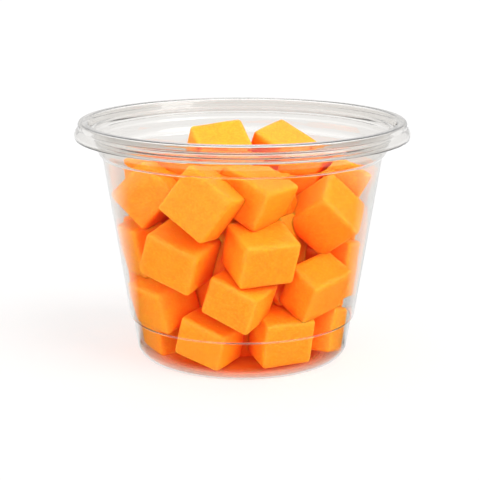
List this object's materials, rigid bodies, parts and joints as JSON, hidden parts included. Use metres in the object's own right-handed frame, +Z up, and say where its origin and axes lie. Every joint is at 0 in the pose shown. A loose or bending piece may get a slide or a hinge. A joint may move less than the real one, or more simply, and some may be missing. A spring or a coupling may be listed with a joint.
{
  "type": "fruit cup",
  "caption": "Round clear plastic cup with a rolled rim and ledges for a lid, heaped to the shoulder with cubes of orange melon.",
  "frame": {"origin": "middle of the cup's flat base, on the surface it stands on", "axes": "+Z up through the mouth, -Y towards the side shown in the picture, +X to the right of it"},
  "size_m": [0.117, 0.117, 0.0842],
  "materials": {
    "clear_plastic": "clear, glossy formed sheet",
    "melon_flesh": "moist, softly grained fruit flesh"
  },
  "bodies": {
    "root": {"cup": "clear_plastic", "melon_cubes": "melon_flesh"}
  },
  "joints": []
}
